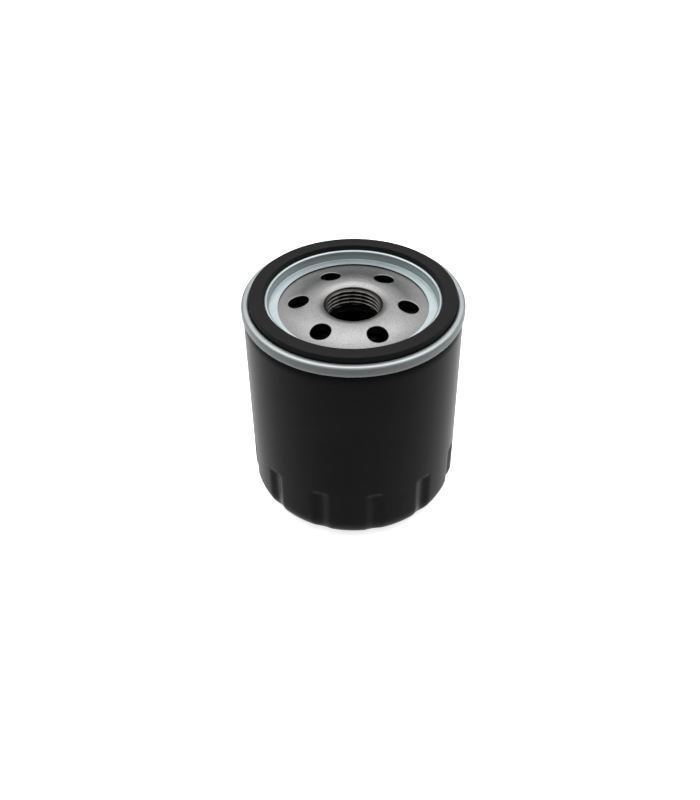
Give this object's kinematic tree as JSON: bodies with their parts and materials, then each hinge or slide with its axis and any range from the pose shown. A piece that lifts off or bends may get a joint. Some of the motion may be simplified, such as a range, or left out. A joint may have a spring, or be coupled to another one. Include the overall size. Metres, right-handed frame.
{
  "type": "spin-on oil filter",
  "caption": "Black spin-on oil filter canister with a fluted closed end, rolled seam, rubber face gasket, holed tapping plate, pleated element and sprung bypass valve.",
  "frame": {"origin": "centre of the flat ring that the closed end of the can stands on", "axes": "+Z along the filter's axis, from the closed end to the threaded end"},
  "size_m": [0.0767, 0.0766, 0.084],
  "materials": {
    "can_paint": "satin",
    "zinc_plating": "satin",
    "plate_steel": "satin",
    "gasket_rubber": "matte",
    "valve_rubber": "satin",
    "tinned_steel": "satin",
    "tube_steel": "satin",
    "spring_steel": "satin",
    "filter_paper": "matte",
    "cured_adhesive": "matte",
    "sealant": "matte"
  },
  "bodies": {
    "housing": {"housing_can": "can_paint", "gasket_retainer": "zinc_plating", "spot_welds": "plate_steel", "seam_sealant": "sealant", "base_plate": "plate_steel", "sealing_gasket": "gasket_rubber", "drainback_sleeve": "valve_rubber"},
    "drainback_flap": {"drainback_skirt": "valve_rubber"},
    "element": {"upper_end_cap": "tinned_steel", "lower_end_cap": "tinned_steel", "upper_adhesive": "cured_adhesive", "lower_adhesive": "cured_adhesive", "centre_tube": "tube_steel", "pleated_media": "filter_paper", "media_seam_clip": "tinned_steel", "bypass_seat": "tinned_steel", "bypass_cage": "tinned_steel", "support_spring": "spring_steel"},
    "bypass_valve": {"bypass_facing": "valve_rubber", "bypass_disc": "tinned_steel", "bypass_stem": "spring_steel", "bypass_spring": "spring_steel"}
  },
  "joints": [
    {"name": "drainback_opening", "type": "slide", "parent": "housing", "child": "drainback_flap", "axis": [0, 0, -1], "range_m": [0, 0.0015], "stiffness_N_per_m": 300, "springref_m": -0.0005},
    {"name": "element_float", "type": "slide", "parent": "housing", "child": "element", "axis": [0, 0, -1], "range_m": [0, 0.0012], "stiffness_N_per_m": 30000, "springref_m": -0.004, "deforming": ["support_spring"]},
    {"name": "bypass_lift", "type": "slide", "parent": "element", "child": "bypass_valve", "axis": [0, 0, 1], "range_m": [0, 0.0025], "stiffness_N_per_m": 2500, "springref_m": -0.0035, "deforming": ["bypass_spring"]}
  ]
}
